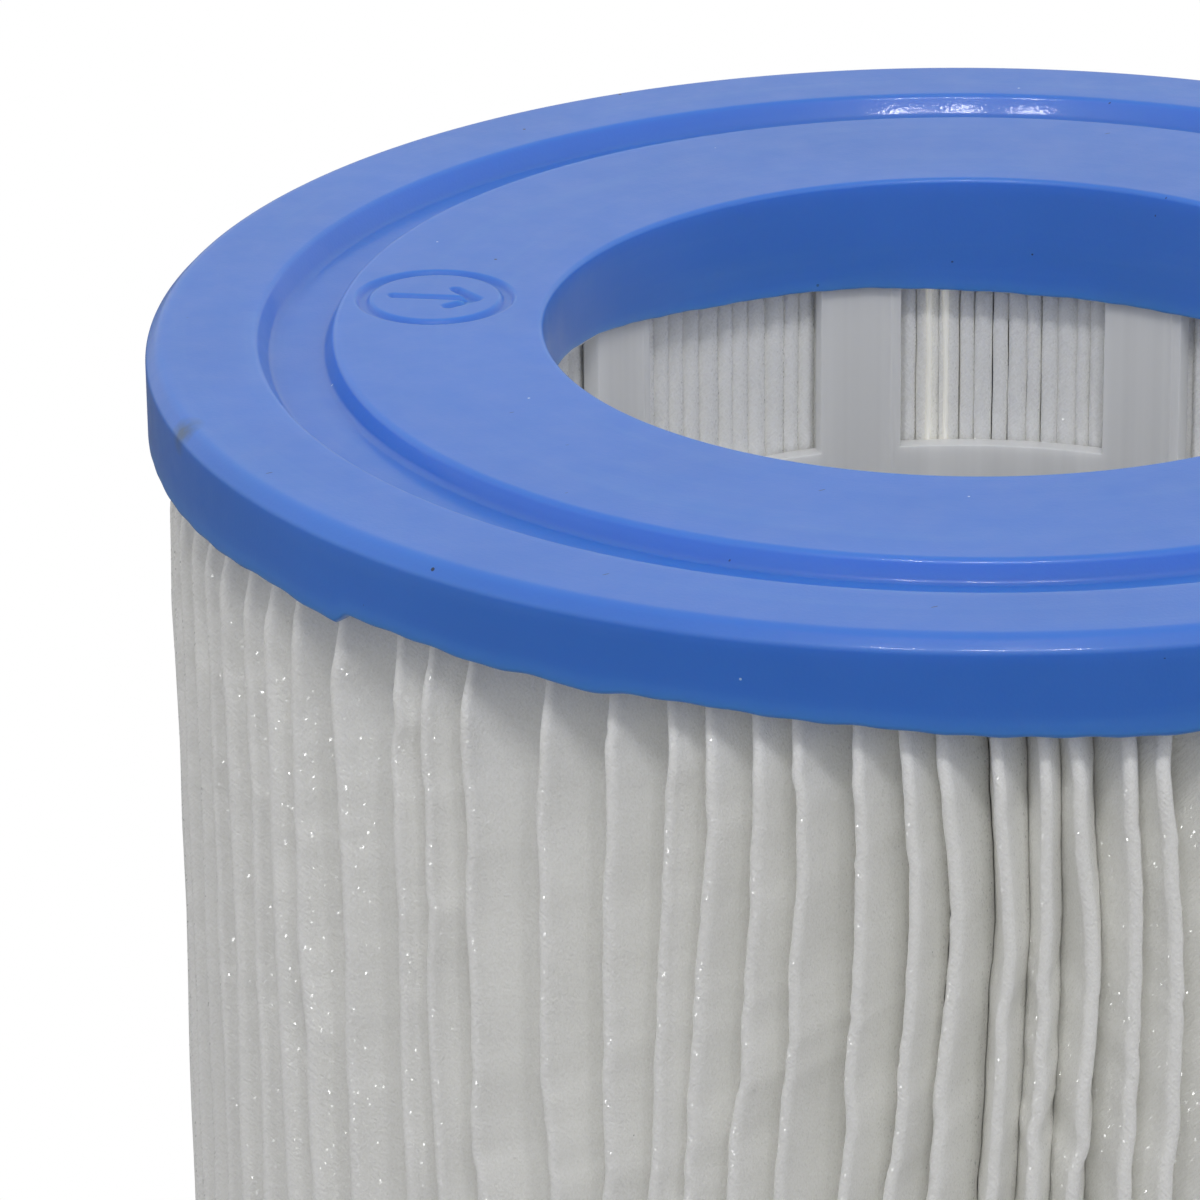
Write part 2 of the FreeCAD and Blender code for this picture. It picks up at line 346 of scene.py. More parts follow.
def media_material():
    """Spunbond polyester: white matted fibres laid aslant, thin enough to let light through."""
    m = Nodes("spunbond_polyester")
    cloud = m.noise(500.0, 4.0, 0.62)
    base = m.ramp(cloud, (0.25, (0.930, 0.928, 0.903)), (0.75, (0.968, 0.966, 0.942)))
    rising = m.noise(1.0, 1.5, 0.5, m.stretch((6600.0, 6600.0, 330.0), (0.55, 0.62, 0.0)))
    falling = m.noise(1.0, 1.5, 0.5, m.stretch((6600.0, 6600.0, 330.0), (-0.50, -0.72, 0.4)))
    base = m.mix(m.ramp(rising, (0.50, 0.0), (0.62, 1.0)), base, (0.998, 0.997, 0.980))
    base = m.mix(m.ramp(falling, (0.54, 0.0), (0.66, 1.0)), base, (0.998, 0.997, 0.980))
    hairs = m.spots(1.0, 0.06, 0.985, (1.3, 0.2, 4.4), m.stretch((1300.0, 1300.0, 230.0), (0.2, 0.9, 0.0)))
    base = m.mix(hairs, base, (0.42, 0.42, 0.40))
    m.set(Base_Color=base, Subsurface_Weight=0.45)
    m.set(Roughness=m.ramp(cloud, (0.3, 0.5), (0.7, 0.68)))
    m.constant("Subsurface Radius", (1.0, 1.0, 0.92))
    m.constant("Subsurface Scale", 0.0007)
    thrown, shining = m.facets(m.stretch((9000.0, 9000.0, 3600.0), (0.5, 0.6, 0.0)), 2.0, 0.78)
    m.set(Coat_Weight=m.math("MULTIPLY", shining, 0.9), Coat_Normal=thrown)
    m.constant("Coat Roughness", 0.15)
    laid = m.bump(rising, 0.75, 0.00007)
    crossed = m.bump(falling, 0.75, 0.00007, laid)
    m.set(Normal=m.bump(cloud, 0.22, 0.0002, crossed))
    return m.material


def core_material():
    """Natural polypropylene: milky, satin, with painted upright shade stripes standing in for the pleats seen
    through it.
    """
    m = Nodes("milky_polypropylene")
    # painted shade: lighter and darker upright stripes in the colour, for the pleats behind the milky wall
    pleat_shade_stripes = m.noise(1.0, 2.0, 0.5, m.polar_scaled(40.0, 21.0, 4.0))
    base = m.ramp(pleat_shade_stripes, (0.35, (0.770, 0.772, 0.768)), (0.65, (0.825, 0.827, 0.823)))
    m.set(Base_Color=base, Subsurface_Weight=0.85)
    m.set(Roughness=m.ramp(m.noise(260.0, 3.0), (0.3, 0.34), (0.7, 0.46)))
    m.constant("Subsurface Radius", (1.0, 1.0, 1.0))
    m.constant("Subsurface Scale", 0.0016)
    m.set(Normal=m.bump(m.noise(420.0, 3.0), 0.12, 0.0001))
    return m.material


def bead_material():
    """Set hot-melt adhesive: cream, slightly glossy, with a faint painted glow from emission."""
    m = Nodes("cream_adhesive")
    base = m.ramp(m.noise(600.0, 3.0), (0.3, (0.985, 0.970, 0.905)), (0.7, (1.0, 0.990, 0.945)))
    m.set(Base_Color=base, Subsurface_Weight=0.3)
    m.set(Roughness=m.ramp(m.noise(900.0), (0.3, 0.28), (0.7, 0.45)))
    m.constant("Subsurface Radius", (1.0, 0.95, 0.85))
    m.constant("Subsurface Scale", 0.0005)
    # painted glow: the beads give off a little light, standing in for light carried along the translucent
    # adhesive
    m.constant("Emission Color", (1.0, 0.96, 0.80, 1.0))
    m.constant("Emission Strength", 0.14)
    m.set(Normal=m.bump(m.noise(900.0, 3.0), 0.3, 0.0001))
    return m.material


SCUFF_PLACE = (-0.0486, -0.0204, 0.1355)
SCUFF_REACH = 0.0016

CAP = cap_material()
MEDIA = media_material()
CORE = core_material()
BEAD = bead_material()


# ---------------------------------------------------------------- end caps

MARK_DISTANCE = 34.9
MARK_ANGLE = math.radians(175.0)
MARK_RADIUS = 4.72
MARK_LINE = 0.75
MARK_DEPTH = 0.33
MARK_WALL = 0.16
ARROW_REACH = 2.7
ARROW_HEAD = 1.6
ARROW_LINE = 0.62


def cap_profile():
    """Closed outline of the cap's section as (radius, depth) points."""
    lip_round = 0.3
    under = SKIRT - 0.45
    hole_top = (HOLE_RADIUS + HOLE_ROUND, HOLE_ROUND)
    ring_top = (RING_EDGE, GROOVE_ROUND)
    rim_top = (GROOVE_EDGE, GROOVE_ROUND)
    ring_foot = (RING_EDGE + GROOVE_ROUND + RING_SLOPE, GROOVE_DEPTH)
    rim_foot = (GROOVE_EDGE - GROOVE_ROUND - RIM_SLOPE, GROOVE_DEPTH)
    bevel_start = (CAP_RADIUS - BEVEL_RADIAL, 0.0)
    bevel_end = (CAP_RADIUS, BEVEL_DEEP)
    points = [(CORE_INNER - 0.05, LIP_DEPTH)]
    points += arc(HOLE_RADIUS + lip_round, LIP_DEPTH - lip_round, lip_round, 90, 180, 6)
    points += line((HOLE_RADIUS, LIP_DEPTH - lip_round), (HOLE_RADIUS, HOLE_ROUND), 8)
    points += arc(*hole_top, HOLE_ROUND, 180, 270, 7)
    points += line((hole_top[0], 0), (RING_EDGE, 0), 110)
    points += arc(*ring_top, GROOVE_ROUND, 270, 345, 8)
    points += soft_corner(points[-1], ring_foot, rim_foot, GROOVE_FOOT, 6)
    points += line(ring_foot, rim_foot, 6)
    rim_round = arc(*rim_top, GROOVE_ROUND, 205, 270, 8)
    points += soft_corner(ring_foot, rim_foot, rim_round[0], GROOVE_FOOT, 6)
    points += rim_round
    points += line((GROOVE_EDGE, 0), bevel_start, 8)
    points += soft_corner((GROOVE_EDGE, 0), bevel_start, bevel_end, SHOULDER_ROUND, 8)
    points += soft_corner(bevel_start, bevel_end, (CAP_RADIUS, SKIRT))
    points += line((CAP_RADIUS, BEVEL_DEEP + 0.3), (CAP_RADIUS, SKIRT - 0.35), 8)
    points += arc(CAP_RADIUS - 0.35, SKIRT - 0.35, 0.35, 0, 90, 6)
    points += [(PLEAT_OUTER - 0.3, SKIRT - 0.1), (PLEAT_OUTER - 1.5, under), (40.0, under)]
    points += [(CORE_INNER - 0.05, under)]
    return np.array(points)


def soft_corner(before, corner, after, cut=CORNER_ROUND, count=5):
    """A corner rounded by a quadratic curve that starts and ends a short way from it."""
    before, corner, after = (np.array(p, float) for p in (before, corner, after))
    start = corner + cut * (before - corner) / np.linalg.norm(before - corner)
    end = corner + cut * (after - corner) / np.linalg.norm(after - corner)
    return [
        tuple((1 - t) ** 2 * start + 2 * t * (1 - t) * corner + t**2 * end)
        for t in np.linspace(0, 1, count)
    ]


def wrapped(degrees):
    """Degrees brought between -180 and 180."""
    return (degrees + 180.0) % 360.0 - 180.0


def skirt_depth(degrees, rng):
    """Depth of the skirt's free edge, as cast; degrees count from the front, left negative."""
    at = wrapped(degrees)
    front = 1.05 * smoothstep(-22, 14, at) - 0.63 * smoothstep(30, 120, at)
    left = 0.75 * smoothstep(44.2, 45.6, -at) - 0.33 * smoothstep(80, 150, -at)
    runs = 0.32 * bump_at(at, -25, 1.5) + 0.22 * bump_at(at, -31.5, 2.2) - 0.34 * bump_at(at, -54, 4.0)
    fine = ripple(np.radians(at), rng, (31, 47, 71, 98), 0.04)
    behind = 1 - smoothstep(-110, -75, at) * (1 - smoothstep(15, 50, at))
    back = ripple(np.radians(at), rng, (4, 7, 12, 19), 0.20) * behind
    return 5.40 + front + left + runs + fine + back


def lip_depth(degrees, rng):
    """The same for the lip inside the hole; degrees count from the back, left negative."""
    level = 7.75 + 0.7 * np.cos(np.radians(degrees - 35.0)) - 0.42 * bump_at(degrees, -20, 12)
    short = 1.9 * bump_at(degrees, -74, 22)
    return level - short + ripple(np.radians(degrees), rng, (23, 37, 61, 88), 0.05)


def mark_depth(x, y):
    """Depth of the engraved circle and arrow at points of the cap's face."""
    cos, sin = math.cos(MARK_ANGLE), math.sin(MARK_ANGLE)
    u = x * cos + y * sin - MARK_DISTANCE
    v = -x * sin + y * cos
    edge = np.abs(np.hypot(u, v) - MARK_RADIUS) - MARK_LINE / 2
    tip = -ARROW_REACH
    shaft = segment_distance(u, v, (tip, 0), (ARROW_REACH, 0)) - ARROW_LINE / 2
    barbs = [
        segment_distance(u, v, (tip, 0), (tip + ARROW_HEAD, side * ARROW_HEAD)) - ARROW_LINE / 2
        for side in (-1, 1)
    ]
    inside = np.minimum.reduce([edge, shaft, *barbs])
    return MARK_DEPTH * (1 - smoothstep(-MARK_WALL, MARK_WALL, inside))


def segment_distance(x, y, start, end):
    along = np.array(end, float) - np.array(start, float)
    share = ((x - start[0]) * along[0] + (y - start[1]) * along[1]) / (along @ along)
    share = np.clip(share, 0, 1)
    return np.hypot(x - start[0] - share * along[0], y - start[1] - share * along[1])


def make_cap(name, upright, seed):
    """One end cap; the upright one has the mark and lies at the top."""
    rng = np.random.default_rng(seed)
    profile = cap_profile()
    angles = np.radians(np.arange(0, 360, 0.5))
    if upright:
        fine = MARK_ANGLE + np.radians(np.arange(-9.0, 9.0, 0.16))
        away = np.abs((angles - MARK_ANGLE + math.pi) % (2 * math.pi) - math.pi)
        angles = np.sort(np.concatenate([angles[away > math.radians(9.1)], fine]))
    radius = np.repeat(profile[:, :1], len(angles), 1)
    depth = np.repeat(profile[:, 1:], len(angles), 1)

    from_front = np.degrees(angles) + 90.0
    from_back = 90.0 - np.degrees(angles)
    skirt = skirt_depth(from_front, rng) - SKIRT
    lip = np.minimum(lip_depth(from_back, rng) - LIP_DEPTH, 0)
    outside = smoothstep(49.5, 51.5, radius) * np.clip((depth - 1.6) / (SKIRT - 1.6), 0, 1)
    inside = (1 - smoothstep(28.3, 29.0, radius)) * np.clip((depth - 1.0) / (LIP_DEPTH - 1.0), 0, 1)
    # share of the painted glow near the skirt's and the lip's free edges
    free_edge = np.maximum(
        smoothstep(SKIRT - 1.6, SKIRT - 0.2, depth) * (radius > 50),
        smoothstep(LIP_DEPTH - 1.5, LIP_DEPTH - 0.2, depth) * (radius < 29))
    depth = depth + outside * skirt + inside * lip

    x, y = radius * np.cos(angles), radius * np.sin(angles)
    if upright:
        face = (depth < 1e-6) & (radius < RING_EDGE)
        depth = depth + np.where(face, mark_depth(x, y), 0)
    z = HEIGHT - depth if upright else depth
    faces = grid_faces(*radius.shape, True, True)
    if upright:
        faces = [face[::-1] for face in faces]
    piece = make_piece(name, np.stack([x, y, z], -1).reshape(-1, 3), faces, CAP)
    piece.data.attributes.new(EDGE_GLOW_ATTRIBUTE, "FLOAT", "POINT").data.foreach_set("value", free_edge.ravel())
    return piece


# ---------------------------------------------------------------- pleated sheet

FIRST_FOLD = -1.5
SEAM = 184.8
FINE_FROM = 96.0

# the gap between two folds: depths in widths of its mouth with the share still open, the same depths' limits
# in millimetres, the radius and share near the inner folds, and how far to one side it closes
VALLEY = ((0.25, 0.93), (0.75, 0.73), (1.35, 0.43), (2.05, 0.04))
VALLEY_DEEPEST = (1.2, 2.8, 4.6, 6.2)
VALLEY_FOOT = (36.0, 0.12)
VALLEY_ASIDE = 0.8
LEAN = 0.6

# where round the cartridge, in degrees from the front, the folds change the side on which they close
FACING = 4.0
TIP_SKEW = 0.16
FACING_SPREAD = 7.0
TUCKED = 0.9
TUCK_END = 7.5


def pleat_pitch(degrees):
    """Relative spacing of the folds round the cartridge; degrees count from the front."""
    return (
        3.0
        + 0.9 * bump_at(degrees, -46, 15)
        + 2.3 * bump_at(degrees, -27, 2.0)
        - 0.4 * bump_at(degrees, 2, 16)
        - 1.1 * bump_at(degrees, 182, 38)
        + 0.9 * bump_at(degrees, SEAM, 1.6)
    )


def fold_angles(rng):
    """Angles of the outer folds from the front, in degrees: a full turn shared out by the pitch."""
    fine = np.linspace(0, 360, 7201)
    count = np.concatenate([[0], np.cumsum(1.0 / pleat_pitch(fine[:-1] + FIRST_FOLD))])
    count *= PLEATS / count[-1]
    even = np.interp(np.arange(PLEATS), count, fine)
    pitch = np.diff(np.append(even, 360.0))
    jitter = np.clip(rng.normal(size=PLEATS), -1.2, 1.2)
    calm = 0.10 + 0.08 * bump_at(even, -45, 25)
    return FIRST_FOLD + even + calm * pitch * jitter


def front_sway(degrees, depth):
    """How the folds at the front run below the top cap, in millimetres to the right: first pushed
    right, then drifting back. depth counts from the cap's face, a row to each."""
    depth = depth[:, None]
    turn_back = 11 + 0.35 * np.clip(wrapped(degrees) + 20, 0, 45)
    pushed = 0.80 * bump_at(degrees, 6, 17) * smoothstep(POTTED, turn_back, depth)
    drifted = (0.55 * bump_at(degrees, 0, 12) + 0.95 * bump_at(degrees, -15, 9)) * smoothstep(
        turn_back, turn_back + 24, depth)
    return pushed - drifted


def shared_sway(rng, degrees, levels):
    """Slow sideways run that neighbouring folds share."""
    turn = np.radians(degrees)[None, :]
    rise = 2 * math.pi * (levels / HEIGHT)[:, None]
    total = np.zeros((len(levels), len(degrees)))
    for around, along, size in ((2, 0.6, 0.30), (5, 1.1, 0.24), (9, 1.7, 0.18), (17, 2.4, 0.12)):
        total += size * np.sin(around * turn + along * rise + rng.uniform(0, 2 * math.pi))
        total += size * np.sin(around * turn - along * rise + rng.uniform(0, 2 * math.pi))
    return total


def own_sway(rng, levels, amplitude):
    """Slow run of each fold on its own."""
    rise = 2 * math.pi * (levels / HEIGHT)[:, None]
    total = np.zeros((len(levels), PLEATS))
    for along in (0.7, 1.6, 3.1):
        total += rng.normal(size=PLEATS) * np.sin(along * rise + rng.uniform(0, 2 * math.pi, PLEATS))
    return amplitude * total / math.sqrt(3)


def kinks(rng, levels, spacing, amplitude):
    """Small kinks along each fold: random offsets joined by straight runs."""
    total = np.empty((len(levels), PLEATS))
    count = int(2.2 * HEIGHT / spacing)
    for fold in range(PLEATS):
        places = levels[0] - spacing + np.cumsum(spacing * rng.uniform(0.3, 1.7, count))
        total[:, fold] = np.interp(levels, places, amplitude * rng.normal(size=count))
    return total


def fold_points(angle, reach, half, deep, way, skew=0.0):
    """Points round a fold by level, in order of rising angle; way is 1 for an outer fold, -1 for an inner.
    The fold is half of an ellipse, half wide each way and deep long; skew leans its tip."""
    heading = np.exp(1j * angle)
    points = []
    for step in np.radians(np.linspace(-82, 82, 5 if way > 0 else 4)):
        radial = reach - way * deep * (1 - math.cos(step)) + skew * math.sin(step)
        points.append(heading * (radial + 1j * half * math.sin(step)))
    return np.stack(points)


def flanks(low, high, root, reach, tip_half, bow, way):
    """The valley's two sides, from its lower outer fold in to the root and out again to the higher one.
    low, high and root are angles by level, and reach is the tips' radius. The sheet springs open, so that a
    valley closes about twice as deep as it is wide. VALLEY gives depths in widths of the mouth, each
    with the share still open. way, from -1 to 1, is the side on which the valley closes."""
    wide = (high - low) * reach - 2 * tip_half - SHEET
    stations = [
        (reach - 0.25 - np.minimum(depth * wide, deepest), opening, VALLEY_ASIDE * (1 - opening))
        for (depth, opening), deepest in zip(VALLEY, VALLEY_DEEPEST)
    ]
    outward, inward = [], []
    for radius, opening, aside_share in [*stations, (*VALLEY_FOOT, 0.0)]:
        depth_share = (PLEAT_OUTER - radius) / (PLEAT_OUTER - PLEAT_INNER)
        middle = (low + high) / 2 * (1 - depth_share) + root * depth_share
        mouth = (high - low) / 2 * radius - tip_half - SHEET / 2
        middle = middle + bow * np.sin(math.pi * depth_share) / radius
        middle = middle + way * aside_share * mouth / radius
        aside = (opening * mouth + SHEET / 2) / radius
        inward.append(radius * np.exp(1j * (middle - aside)))
        outward.append(radius * np.exp(1j * (middle + aside)))
    return np.stack(inward), np.stack(outward[::-1])


def make_media():
    """The folded sheet as a closed solid of even thickness, and its length when laid flat."""
    rng = np.random.default_rng(11)
    low, high = MEDIA_LOW[2], MEDIA_HIGH[2]
    levels = np.concatenate([np.linspace(low, FINE_FROM, 35)[:-1], np.linspace(FINE_FROM, high, 60)])
    held = smoothstep(0, 7, np.minimum(levels - low, high - levels))[:, None]
    outer = fold_angles(rng)
    following = np.append(outer[1:], outer[0] + 360)
    pitch = np.radians(following - outer)

    plain = 1 - np.outer(smoothstep(85, 105, levels), bump_at(outer, -15, 34))
    sway = front_sway(outer, HEIGHT - levels)
    sway += plain * held * shared_sway(rng, outer, levels)
    sway += held * (own_sway(rng, levels, 0.13) + kinks(rng, levels, 4.0, 0.105))
    sway += kinks(rng, levels, 0.9, 0.045)
    outer_angle = np.radians(outer - 90) + sway / PLEAT_OUTER
    inset = 0.12 * np.abs(rng.normal(size=PLEATS)) + held * np.abs(own_sway(rng, levels, 0.12))
    outer_reach = PLEAT_OUTER - SHEET / 2 - 0.08 - inset - 0.03 * np.abs(kinks(rng, levels, 5.0, 1.0))
    from_end = np.minimum(levels - low, high - levels)
    outer_reach -= TUCKED * (1 - smoothstep(TUCK_END / 3, TUCK_END, from_end))[:, None]
    outer_half = rng.uniform(0.15, 0.25, PLEATS) * (1 + 0.10 * own_sway(rng, levels, 1.0))
    outer_half = np.clip(outer_half, 0.14, 0.32)

    inner_sway = held * (own_sway(rng, levels, 0.03) + kinks(rng, levels, 3.0, 0.025))
    inner_angle = np.radians((outer + following) / 2 - 90) + inner_sway / PLEAT_INNER
    inner_half = np.clip((pitch * PLEAT_INNER - SHEET - 0.03) / 2, 0.18, 0.70) * np.ones_like(sway)
    inner_skew = -0.13 - 0.05 * rng.uniform(-1, 1, PLEATS)
    inner_reach = PLEAT_INNER + SHEET / 2 + 0.06 + 0.10 * rng.uniform(0, 1, PLEATS) + 0 * sway
    bow = LEAN + held * (0.10 * shared_sway(rng, outer, levels) + own_sway(rng, levels, 0.10))

    way = -np.tanh((wrapped(outer) - FACING) / FACING_SPREAD)
    tip_skew = -TIP_SKEW * smoothstep(-4, 14, -wrapped(outer))
    sections = []
    for fold in range(PLEATS):
        after = (fold + 1) % PLEATS
        full_turn = 2 * math.pi if after == 0 else 0
        low, high = outer_angle[:, fold], outer_angle[:, after] + full_turn
        tip = fold_points(low, outer_reach[:, fold], outer_half[:, fold], 0.25, 1, tip_skew[fold])
        root = fold_points(inner_angle[:, fold], inner_reach[:, fold], inner_half[:, fold], 0.24, -1,
                           inner_skew[fold])
        tip_half = (outer_half[:, fold] + outer_half[:, after]) / 2
        mouth_reach = (outer_reach[:, fold] + outer_reach[:, after]) / 2
        inward, outward = flanks(
            low, high, inner_angle[:, fold], mouth_reach, tip_half, bow[:, fold], way[fold])
        sections += [tip, inward, root, outward]
    path = np.concatenate(sections)          # points along the sheet, by level, as complex numbers
    tangent = np.roll(path, -1, 0) - np.roll(path, 1, 0)
    normal = -1j * tangent / np.abs(tangent)
    rings = []
    for side in (1, -1):
        ring = path + side * normal * SHEET / 2
        rings.append(np.stack([ring.real, ring.imag, np.broadcast_to(levels, ring.shape)], -1))
    count, tall = path.shape
    points = np.concatenate([rings[0].reshape(-1, 3), rings[1].reshape(-1, 3)])
    outside = np.array(grid_faces(count, tall, True, False))[:, ::-1]
    inside = outside[:, ::-1] + count * tall
    first = np.arange(count) * tall
    ends = []
    for level, flip in ((0, False), (tall - 1, True)):
        a = first + level
        b = np.roll(a, -1)
        quad = np.stack([a, a + count * tall, b + count * tall, b], -1)
        ends.append(quad[:, ::-1] if flip else quad)
    faces = np.concatenate([outside, inside, *ends]).tolist()
    piece = make_piece("pleated_sheet", points, faces, MEDIA)
    length = np.abs(path - np.roll(path, 1, 0)).sum(0).mean()
    return piece, float(length)


# ---------------------------------------------------------------- seam adhesive and support core

BEAD_WIDTH = 0.36
BEAD_FRONT = 29.58
BEAD_BACK = 31.2
BEAD_LINES = (183.32, 185.6)


def make_bead(name, degrees, seed):
    """One upright line of adhesive in the gap between two inner folds; degrees count from the front."""
    rng = np.random.default_rng(seed)
    levels = np.linspace(MEDIA_LOW[2] + 0.5, MEDIA_HIGH[2] - 0.5, 90)
    rise = 2 * math.pi * levels / HEIGHT
    lean = 0.03 * np.sin(3.1 * rise + rng.uniform(0, 6)) + 0.02 * np.sin(9.3 * rise + rng.uniform(0, 6))
    swell = 1 + 0.10 * np.sin(7.7 * rise + rng.uniform(0, 6)) + 0.07 * rng.normal(size=len(levels))
    heading = math.radians(degrees - 90)
    deep = BEAD_BACK - BEAD_FRONT
    rings = []
    for turn in np.radians(np.arange(0, 360, 30)):
        wide = math.copysign(abs(math.sin(turn)) ** 0.6, math.sin(turn))
        long = math.copysign(abs(math.cos(turn)) ** 0.6, math.cos(turn))
        across = lean + BEAD_WIDTH / 2 * swell * wide
        out = (BEAD_FRONT + BEAD_BACK) / 2 + deep / 2 * long + 0 * levels
        rings.append(np.stack([
            out * math.cos(heading) - across * math.sin(heading),
            out * math.sin(heading) + across * math.cos(heading),
            levels,
        ], -1))
    points = np.stack(rings)
    count, tall = points.shape[:2]
    faces = [face[::-1] for face in grid_faces(count, tall, True, False)]
    faces.append([tall * i for i in reversed(range(count))])
    faces.append([tall * i + tall - 1 for i in range(count)])
    return make_piece(name, points.reshape(-1, 3), faces, BEAD)


STRIP_AWAY = 0.68
STRIP_HALF = 0.15
STRIP_PROUD = 0.09


def make_core():
    """Windowed tube with a fine raised line beside each column of windows."""
    half = math.degrees(WINDOW_WIDTH / 2 / CORE_OUTER)
    column = 360.0 / WINDOW_COLUMNS
    strip = half + math.degrees(STRIP_AWAY / CORE_INNER)
    strip_half = math.degrees(STRIP_HALF / CORE_INNER)
    bar = np.array([strip - strip_half, strip, strip + strip_half])
    opening = np.linspace(-half, half, 11)
    beyond = np.linspace(strip + 1.2, column - half - 1.2, 4)
    own = np.concatenate([opening, bar, beyond])
    turns = np.concatenate([WINDOW_ANGLE + column * k + own for k in range(WINDOW_COLUMNS)])
    raised = np.tile(np.isin(np.arange(len(own)), (12,)), WINDOW_COLUMNS)
    open_turn = np.tile(np.arange(len(own)) < 10, WINDOW_COLUMNS)

    middle = HEIGHT / 2
    rows = (np.arange(WINDOW_ROWS) - (WINDOW_ROWS - 1) / 2) * WINDOW_SPACING + middle
    edges = np.sort(np.concatenate([rows - WINDOW_HEIGHT / 2, rows + WINDOW_HEIGHT / 2]))
    levels = np.concatenate([[CORE_LOW[2]], edges, [CORE_HIGH[2]]])
    open_level = np.arange(len(levels)) % 2 == 1

    inner_radii = np.where(raised, CORE_INNER - STRIP_PROUD, CORE_INNER)
    radii = np.stack([inner_radii, np.full(len(turns), CORE_OUTER)])
    angles = np.radians(turns)
    wide, tall = len(turns), len(levels)
    points = np.stack([
        np.broadcast_to((radii * np.cos(angles))[:, None], (2, tall, wide)),
        np.broadcast_to((radii * np.sin(angles))[:, None], (2, tall, wide)),
        np.broadcast_to(levels[None, :, None], (2, tall, wide)),
    ], -1)

    def at(side, level, turn):
        return (side * tall + level) * wide + turn % wide

    def solid(level, turn):
        inside = 0 <= level < tall - 1
        return inside and not (open_level[level] and open_turn[turn % wide])

    faces = []
    for level in range(-1, tall):
        for turn in range(wide):
            if solid(level, turn):
                corners = [(level, turn), (level, turn + 1), (level + 1, turn + 1), (level + 1, turn)]
                faces.append([at(1, *corner) for corner in corners])
                faces.append([at(0, *corner) for corner in reversed(corners)])
            if 0 <= level < tall - 1 and solid(level, turn) != solid(level, turn - 1):
                wall = [at(*corner) for corner in (
                    (0, level, turn), (1, level, turn), (1, level + 1, turn), (0, level + 1, turn))]
                faces.append(wall[::-1] if solid(level, turn - 1) else wall)
            if level >= 0 and solid(level, turn) != solid(level - 1, turn):
                ledge = [at(*corner) for corner in (
                    (0, level, turn), (0, level, turn + 1), (1, level, turn + 1), (1, level, turn))]
                faces.append(ledge[::-1] if solid(level - 1, turn) else ledge)
    piece = make_piece("core_tube", points.reshape(-1, 3), faces, CORE)
    soften = piece.modifiers.new("soft_edges", "BEVEL")
    soften.width = 0.1 * MM
    soften.segments = 2
    soften.limit_method = "ANGLE"
    soften.angle_limit = math.radians(50)
    soften.harden_normals = True
    return piece


# ---------------------------------------------------------------- assembly

top_cap = make_cap("top_cap", True, 3)
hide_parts("top_end_cap")
bottom_cap = make_cap("bottom_cap", False, 4)
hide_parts("bottom_end_cap")
media, flat_length = make_media()
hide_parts("pleated_media")
beads = [make_bead(f"seam_bead_{n + 1}", place, 20 + n) for n, place in enumerate(BEAD_LINES)]
for bead in beads:
    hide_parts("seam_beads")
core = make_core()
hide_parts("support_core")


# ---------------------------------------------------------------- stage, lights and camera

def make_floor():
    """Pale floor, soft grey round the part and white further off."""
    mesh = bpy.data.meshes.new("floor")
    half = 6.0
    corners = [(-half, -half, 0), (half, -half, 0), (half, half, 0), (-half, half, 0)]
    mesh.from_pydata(corners, [], [(0, 1, 2, 3)])
    floor = bpy.data.objects.new("floor", mesh)
    bpy.context.scene.collection.objects.link(floor)
    m = Nodes("pale_floor")
    m.set(Base_Color=(0.86, 0.86, 0.86, 1.0), Roughness=0.9)
    white = m.add("ShaderNodeEmission", Strength=1.0)
    away = m.add("ShaderNodeVectorMath", {"operation": "LENGTH"})
    m.feed(away.inputs[0], m.where)
    share = m.ramp(away.outputs["Value"], (0.055, 0.0), (0.135, 1.0))
    both = m.add("ShaderNodeMixShader", Fac=share)
    m.tree.links.new(m.shader.outputs["BSDF"], both.inputs[1])
    m.tree.links.new(white.outputs["Emission"], both.inputs[2])
    m.tree.links.new(both.outputs["Shader"], m.output.inputs["Surface"])
    mesh.materials.append(m.material)
    floor.visible_diffuse = False
    floor.visible_glossy = False
    floor.visible_shadow = False
    return floor


LAMP_AWAY = 1.1
LAMP_RISE = math.radians(50)
LAMP_POWER = 1.0
LAMP_SIZE = 0.07
LAMP_TURNS = (-12.0, 2.6, 15.5)


def make_lamps():
    """Three small soft lamps in front of the part and above it."""
    target = Vector((0, 0, HEIGHT * MM))
    for number, turn in enumerate(LAMP_TURNS):
        light = bpy.data.lights.new(f"lamp_{number + 1}", "AREA")
        light.shape = "DISK"
        light.size = LAMP_SIZE
        light.energy = LAMP_POWER
        side = math.radians(turn)
        heading = Vector((math.sin(side) * math.cos(LAMP_RISE), -math.cos(side) * math.cos(LAMP_RISE),
                          math.sin(LAMP_RISE)))
        lamp = bpy.data.objects.new(light.name, light)
        lamp.location = target + LAMP_AWAY * heading
        lamp.rotation_euler = (-heading).to_track_quat("-Z", "Y").to_euler()
        bpy.context.scene.collection.objects.link(lamp)


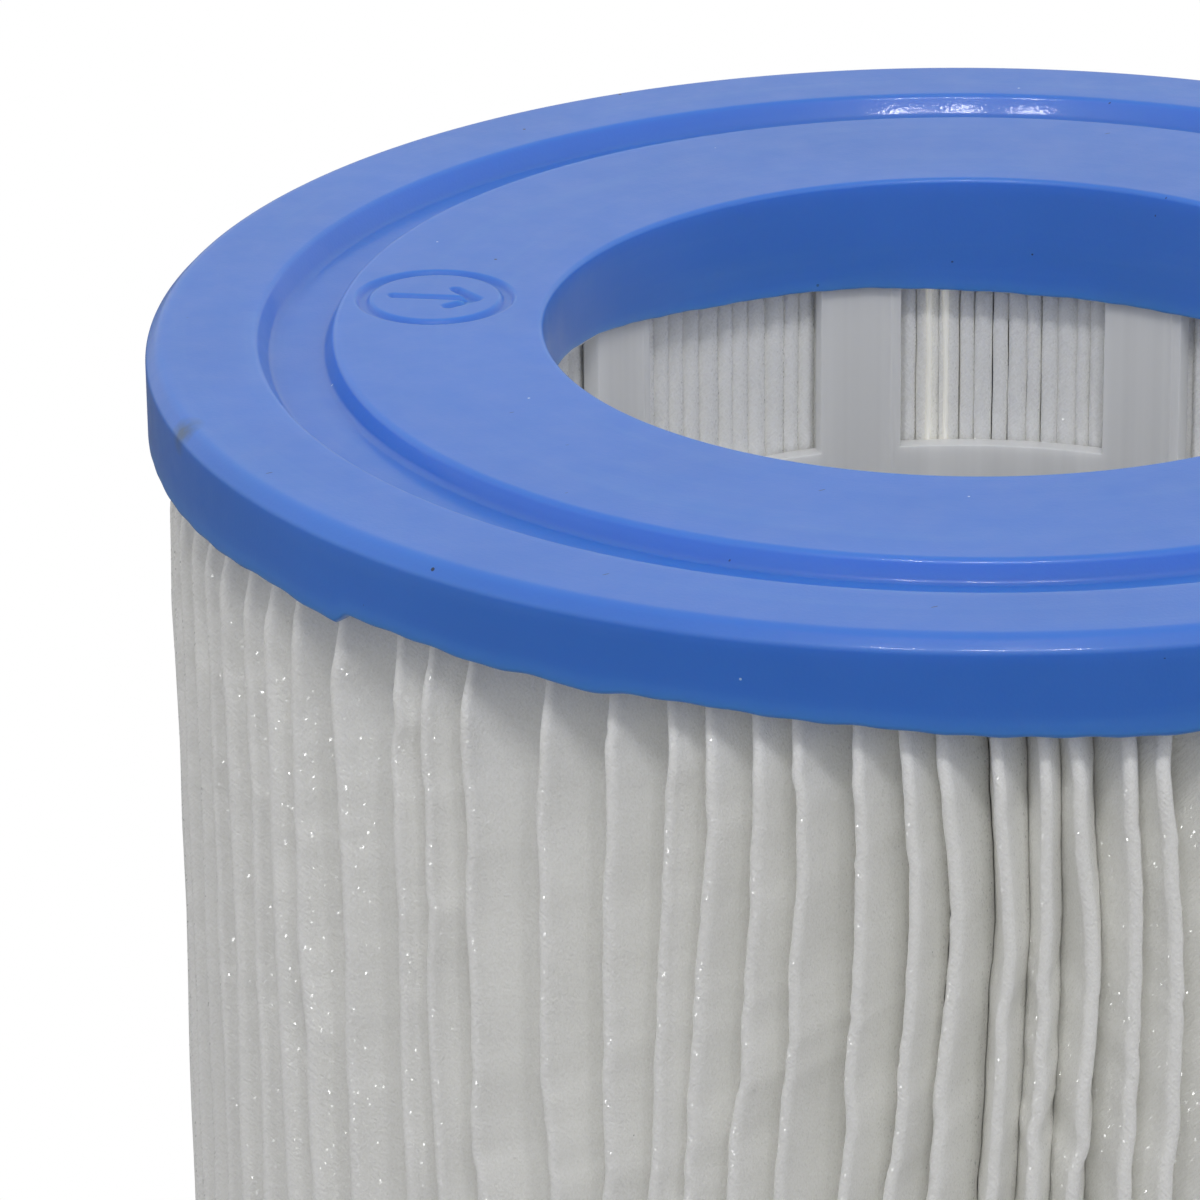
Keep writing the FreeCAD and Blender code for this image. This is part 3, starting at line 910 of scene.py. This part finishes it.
def make_world():
    """White room: bright round the sides, softer overhead, behind and low in front, dim below."""
    world = bpy.data.worlds.new("studio")
    world.use_nodes = True
    nodes, links = world.node_tree.nodes, world.node_tree.links
    background = nodes["Background"]
    where = nodes.new("ShaderNodeTexCoord").outputs["Generated"]
    parts = nodes.new("ShaderNodeSeparateXYZ")
    links.new(where, parts.inputs["Vector"])

    def band(source, low, high, low_value, high_value):
        node = nodes.new("ShaderNodeMapRange")
        node.interpolation_type = "SMOOTHSTEP"
        links.new(source, node.inputs["Value"])
        ends = {"From Min": low, "From Max": high, "To Min": low_value, "To Max": high_value}
        for name, setting in ends.items():
            node.inputs[name].default_value = setting
        return node.outputs["Result"]

    def multiply(first, second):
        node = nodes.new("ShaderNodeMath")
        node.operation = "MULTIPLY"
        links.new(first, node.inputs[0])
        links.new(second, node.inputs[1])
        return node.outputs["Value"]

    around = band(parts.outputs["Y"], 0.0, 0.8, 0.84, 0.76)
    zenith = band(parts.outputs["Z"], 0.45, 0.80, 1.0, 0.76)
    below = band(parts.outputs["Z"], -0.20, 0.05, 0.22, 1.0)
    front = band(parts.outputs["Y"], -0.9, -0.1, 0.35, 0.0)
    low = band(parts.outputs["Z"], 0.15, 0.55, 1.0, 0.0)
    kept = nodes.new("ShaderNodeMath")
    kept.operation = "SUBTRACT"
    kept.inputs[0].default_value = 1.0
    links.new(multiply(front, low), kept.inputs[1])
    strength = multiply(multiply(around, zenith), multiply(below, kept.outputs["Value"]))
    links.new(strength, background.inputs["Strength"])
    background.inputs["Color"].default_value = (1.0, 1.0, 1.0, 1.0)
    bpy.context.scene.world = world


CAMERA_DISTANCE = 0.4221
CAMERA_ELEVATION = 20.12
CAMERA_TILT = 22.58
CAMERA_PAN = 3.48
CAMERA_ROLL = -0.69
CAMERA_LENS = 196.7


def make_camera():
    """Camera aimed past the top cap's middle, so that the cap runs out of the frame on the right."""
    camera = bpy.data.cameras.new("camera")
    camera.sensor_width = 36.0
    camera.lens = CAMERA_LENS
    camera.clip_start = 0.01
    camera.clip_end = 100.0
    view = bpy.data.objects.new("camera", camera)
    rise = math.radians(CAMERA_ELEVATION)
    middle = Vector((0, 0, HEIGHT * MM))
    place = middle + CAMERA_DISTANCE * Vector((0, -math.cos(rise), math.sin(rise)))
    turn = Matrix.Rotation(math.radians(CAMERA_PAN), 4, "Z")
    tilt = Matrix.Rotation(math.radians(90 - CAMERA_TILT), 4, "X")
    roll = Matrix.Rotation(math.radians(CAMERA_ROLL), 4, "Z")
    view.matrix_world = Matrix.Translation(place) @ turn @ tilt @ roll
    bpy.context.scene.collection.objects.link(view)
    bpy.context.scene.camera = view


make_floor()
make_world()
make_lamps()
make_camera()
bpy.context.scene.view_settings.view_transform = "Standard"
# light is handed on many times between the folds of the white sheet
bpy.context.scene.cycles.diffuse_bounces = 12
